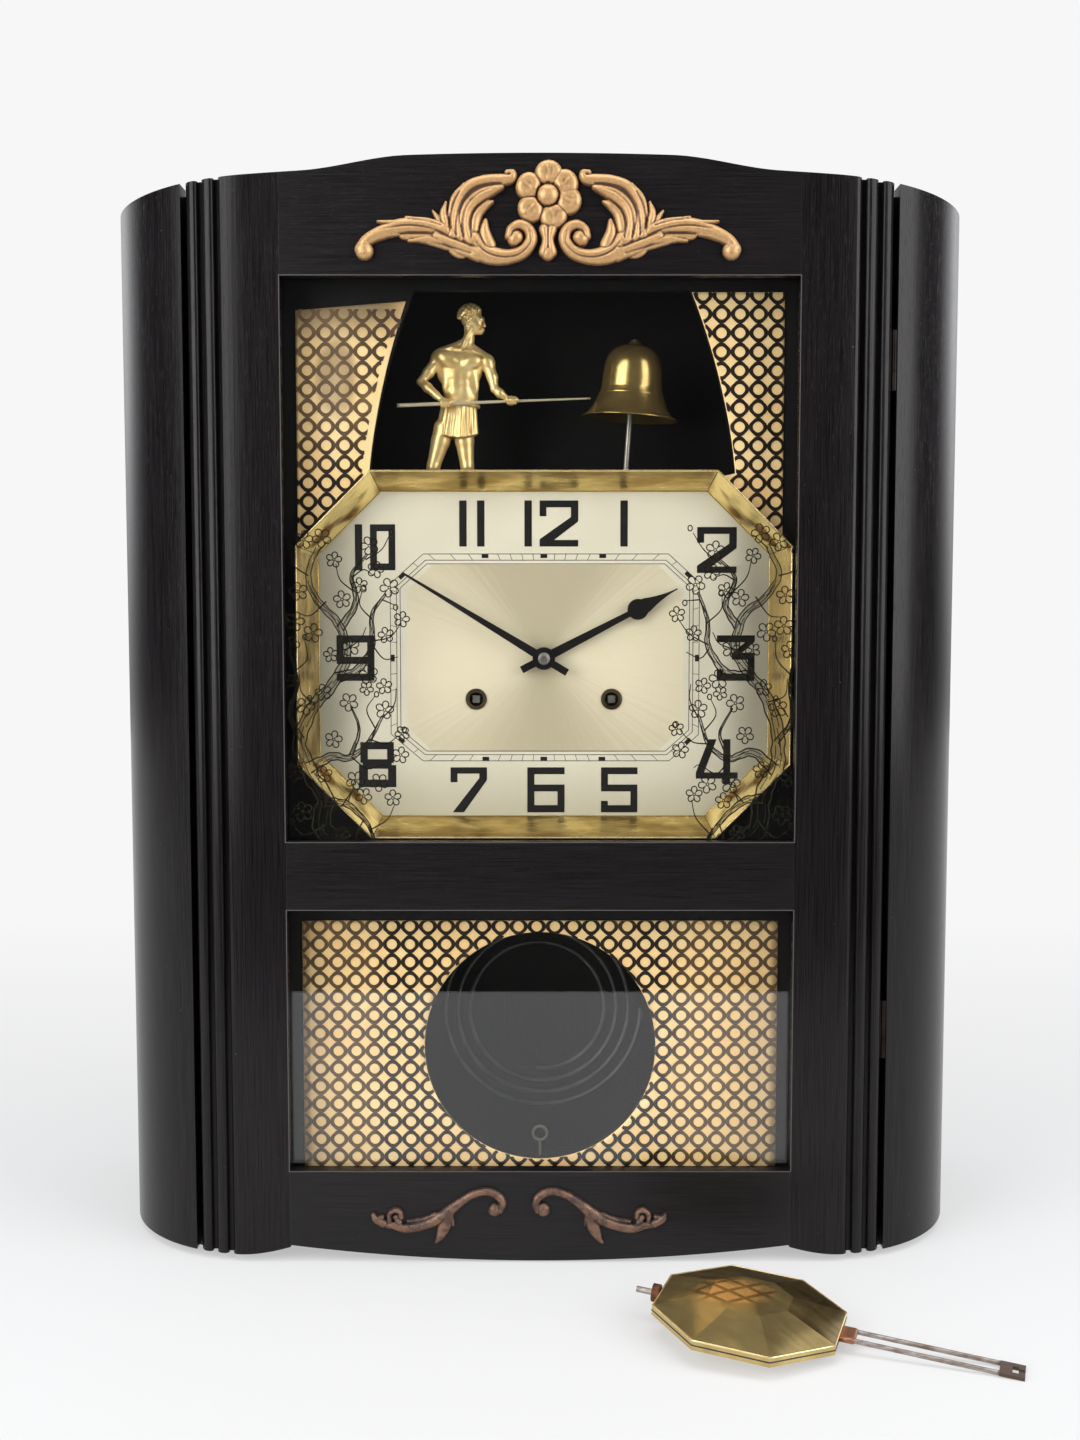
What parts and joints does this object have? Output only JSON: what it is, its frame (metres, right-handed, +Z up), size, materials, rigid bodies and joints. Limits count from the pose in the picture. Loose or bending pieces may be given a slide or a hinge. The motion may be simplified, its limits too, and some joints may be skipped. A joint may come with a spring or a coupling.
{
  "type": "pendulum clock",
  "caption": "Striking pendulum clock: ebonised case with rounded sides, glazed door, brass octagonal dial bezel, bell-striker figure, coiled gong and loose octagonal pendulum.",
  "frame": {"origin": "underside of the bottom board, in the middle of the case's width and depth", "axes": "+X to the viewer's right, +Y from the door to the wall, +Z up"},
  "size_m": [0.448, 0.2869, 0.5592],
  "materials": {
    "black_wood": "satin ebonised lacquer with a fine vertical grain",
    "inner_wood": "plain oiled softwood",
    "black_board": "matt black stain",
    "grille_gold": "printed gold pattern on dark brown sheet",
    "polished_brass": "polished",
    "dial_sheet": "brushed champagne sheet",
    "movement_brass": "lacquered",
    "steel": "plain turned steel",
    "blued_wire": "dark oiled spring wire and casting",
    "dark_hinge": "darkened",
    "window_glass": "clear polished sheet",
    "gilt": "aged gilt on a pressed carving",
    "black_hand": "satin black",
    "figure_gilt": "gilt casting",
    "rod_gilt": "pale gilt",
    "bob_brass": "polished pressed sheet, tarnished",
    "rod_steel": "aged wire with a brown hook plate",
    "rusty_nut": "rusted"
  },
  "bodies": {
    "case": {"left_side": "black_wood", "right_side": "black_wood", "top_board": "black_wood", "bottom_board": "black_wood", "back_board": "inner_wood", "seat_board": "inner_wood", "mask_board": "black_board", "stage_box": "black_board", "grilles": "grille_gold", "dial_bezel": "polished_brass", "winding_eyelets": "polished_brass", "bell": "polished_brass", "hanger_plate": "polished_brass", "door_catch": "polished_brass", "dial_plate": "dial_sheet", "front_plate": "movement_brass", "back_plate": "movement_brass", "plate_pillars": "movement_brass", "suspension_cock": "movement_brass", "hanger_screws": "steel", "screw_eye": "steel", "bell_post": "steel", "gong": "blued_wire", "gong_block": "blued_wire", "case_hinge_leaves": "dark_hinge"},
    "door": {"left_stile": "black_wood", "right_stile": "black_wood", "crest_rail": "black_wood", "middle_rail": "black_wood", "apron_rail": "black_wood", "upper_glass": "window_glass", "lower_glass": "window_glass", "glass_beads": "black_wood", "crest_ornament": "gilt", "apron_ornaments": "gilt", "door_hinge_leaves": "dark_hinge"},
    "minute": {"cannon_pinion": "steel", "minute_hand": "black_hand", "hand_nut": "steel"},
    "hour": {"hour_hand": "black_hand", "hour_wheel": "movement_brass"},
    "minute_wheel": {"minute_wheel": "movement_brass"},
    "winder_left": {"winding_arbor_left": "steel"},
    "winder_right": {"winding_arbor_right": "steel"},
    "barrel_left": {"barrel_left": "movement_brass"},
    "barrel_right": {"barrel_right": "movement_brass"},
    "centre_wheel": {"centre_wheel": "movement_brass"},
    "third_wheel": {"third_wheel": "movement_brass"},
    "escape_wheel": {"escape_wheel": "movement_brass"},
    "anchor": {"anchor": "steel"},
    "leader": {"pendulum_leader": "steel"},
    "pin_wheel": {"pin_wheel": "movement_brass"},
    "fly": {"fly": "movement_brass"},
    "gong_hammer": {"gong_hammer": "steel"},
    "striker": {"figure": "figure_gilt", "striking_rod": "rod_gilt"},
    "pendulum": {"bob_front": "bob_brass", "bob_back": "bob_brass", "pendulum_rod": "rod_steel"},
    "rating_nut": {"rating_nut": "rusty_nut"}
  },
  "joints": [
    {"name": "door_hinge", "type": "hinge", "parent": "case", "child": "door", "pos_m": [0.177, -0.07138, 0.28], "axis": [0, 0, 1], "range_deg": [0, 100]},
    {"name": "pendulum_lift", "type": "slide", "parent": "door", "child": "pendulum", "axis": [0, 0, 1], "range_m": [0, 0.12]},
    {"name": "rating_nut_turn", "type": "hinge", "parent": "pendulum", "child": "rating_nut", "pos_m": [0.0975, -0.161, 0.0099], "axis": [0.9435, -0.323, -0.0737], "continuous": true},
    {"name": "minute_hand_turn", "type": "hinge", "parent": "case", "child": "minute", "pos_m": [0.002, -0.05, 0.3107], "axis": [0, 1, 0], "continuous": true},
    {"name": "hour_hand_turn", "type": "hinge", "parent": "case", "child": "hour", "pos_m": [0.002, -0.05, 0.3107], "axis": [0, 1, 0], "continuous": true},
    {"name": "minute_wheel_turn", "type": "hinge", "parent": "case", "child": "minute_wheel", "pos_m": [-0.01491, -0.045, 0.30454], "axis": [0, 1, 0], "continuous": true},
    {"name": "winding_left", "type": "hinge", "parent": "case", "child": "winder_left", "pos_m": [-0.0331, -0.045, 0.2894], "axis": [0, 1, 0], "continuous": true},
    {"name": "winding_right", "type": "hinge", "parent": "case", "child": "winder_right", "pos_m": [0.0371, -0.045, 0.2894], "axis": [0, 1, 0], "continuous": true},
    {"name": "third_wheel_turn", "type": "hinge", "parent": "case", "child": "third_wheel", "pos_m": [0.01425, -0.02, 0.33192], "axis": [0, 1, 0], "continuous": true},
    {"name": "centre_wheel_turn", "type": "hinge", "parent": "case", "child": "centre_wheel", "pos_m": [0.002, -0.02, 0.3107], "axis": [0, 1, 0], "continuous": true},
    {"name": "escape_wheel_turn", "type": "hinge", "parent": "case", "child": "escape_wheel", "pos_m": [-0.00394, -0.02, 0.34242], "axis": [0, 1, 0], "continuous": true},
    {"name": "barrel_right_turn", "type": "hinge", "parent": "case", "child": "barrel_right", "pos_m": [0.0371, -0.02, 0.2894], "axis": [0, 1, 0], "continuous": true},
    {"name": "pin_wheel_turn", "type": "hinge", "parent": "case", "child": "pin_wheel", "pos_m": [-0.02247, -0.02, 0.32906], "axis": [0, 1, 0], "continuous": true},
    {"name": "barrel_left_turn", "type": "hinge", "parent": "case", "child": "barrel_left", "pos_m": [-0.0331, -0.02, 0.2894], "axis": [0, 1, 0], "continuous": true},
    {"name": "fly_turn", "type": "hinge", "parent": "case", "child": "fly", "pos_m": [-0.03209, -0.02, 0.34968], "axis": [0, 1, 0], "continuous": true},
    {"name": "leader_swing", "type": "hinge", "parent": "case", "child": "leader", "pos_m": [0.002, 0.016, 0.35835], "axis": [0, 1, 0], "range_deg": [-4, 4]},
    {"name": "anchor_swing", "type": "hinge", "parent": "case", "child": "anchor", "pos_m": [0.002, -0.02, 0.35835], "axis": [0, 1, 0], "range_deg": [-4, 4]},
    {"name": "gong_hammer_lift", "type": "hinge", "parent": "case", "child": "gong_hammer", "pos_m": [-0.042, 0.025, 0.2607], "axis": [0, 1, 0], "range_deg": [0, 7]},
    {"name": "figure_lean", "type": "hinge", "parent": "case", "child": "striker", "pos_m": [-0.041, -0.03, 0.381], "axis": [0, 1, 0], "range_deg": [-4, 1.5]}
  ],
  "couplings": [
    {"joint": "hour_hand_turn", "follows": "minute_hand_turn", "ratio": 0.083333},
    {"joint": "minute_wheel_turn", "follows": "minute_hand_turn", "ratio": -0.33333},
    {"joint": "centre_wheel_turn", "follows": "third_wheel_turn", "ratio": -0.16667},
    {"joint": "escape_wheel_turn", "follows": "third_wheel_turn", "ratio": -6},
    {"joint": "barrel_right_turn", "follows": "third_wheel_turn", "ratio": 0.027778},
    {"joint": "barrel_left_turn", "follows": "pin_wheel_turn", "ratio": -0.16667},
    {"joint": "fly_turn", "follows": "pin_wheel_turn", "ratio": -6},
    {"joint": "anchor_swing", "follows": "leader_swing", "ratio": 1}
  ]
}
